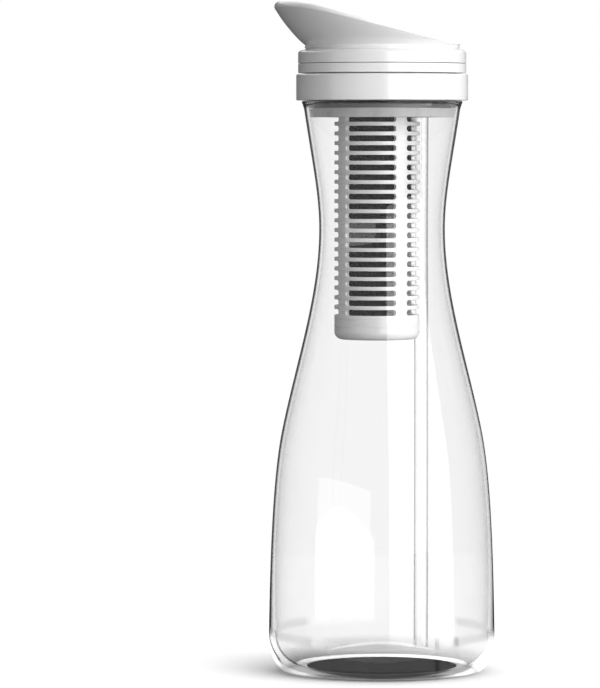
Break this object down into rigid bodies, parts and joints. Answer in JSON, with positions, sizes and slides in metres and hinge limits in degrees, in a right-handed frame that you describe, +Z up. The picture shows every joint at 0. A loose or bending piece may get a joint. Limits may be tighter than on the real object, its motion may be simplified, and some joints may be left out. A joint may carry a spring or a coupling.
{
  "type": "water filter carafe",
  "caption": "Waisted glass carafe with a push-in white lid, a turning beaked pouring head, a hanging slotted carbon filter cartridge and a vent tube.",
  "frame": {"origin": "centre of the foot, on the surface that the carafe stands on", "axes": "+Z up the carafe's axis, -X towards the beak of the pouring spout"},
  "size_m": [0.1014, 0.1014, 0.2992],
  "materials": {
    "clear_glass": "clear polished glass",
    "white_plastic": "gloss white moulded plastic",
    "grey_silicone": "satin grey translucent silicone",
    "steel": "stainless steel",
    "clear_tube": "clear rigid plastic tube",
    "carbon": "black pressed carbon granules",
    "fleece": "off-white filter fleece"
  },
  "bodies": {
    "carafe": {"glass_carafe": "clear_glass"},
    "lid": {"neck_gasket": "grey_silicone", "lid_plug": "white_plastic", "plug_floor": "white_plastic", "collar_band": "white_plastic", "shutter_seal": "grey_silicone", "spigot_o_ring": "grey_silicone", "pivot_washer": "steel", "pivot_screw": "steel", "vent_tube": "clear_tube"},
    "pour_head": {"shutter_cup": "white_plastic", "rotor_o_ring": "grey_silicone", "turn_ring": "white_plastic", "spout_ring": "white_plastic", "pour_spout": "white_plastic"},
    "cartridge": {"cartridge_cage": "white_plastic", "cartridge_cap": "white_plastic", "carbon_block": "carbon", "core_tube": "white_plastic", "core_fleece": "fleece", "top_pad": "grey_silicone", "bottom_pad": "grey_silicone"}
  },
  "joints": [
    {"name": "lid_lift", "type": "slide", "parent": "carafe", "child": "lid", "axis": [0, 0, 1], "range_m": [0, 0.25]},
    {"name": "head_turn", "type": "hinge", "parent": "lid", "child": "pour_head", "pos_m": [0, 0, 0.268], "axis": [0, 0, 1], "range_deg": [0, 90]},
    {"name": "cartridge_pull", "type": "slide", "parent": "lid", "child": "cartridge", "axis": [0, 0, -1], "range_m": [0, 0.03]}
  ]
}
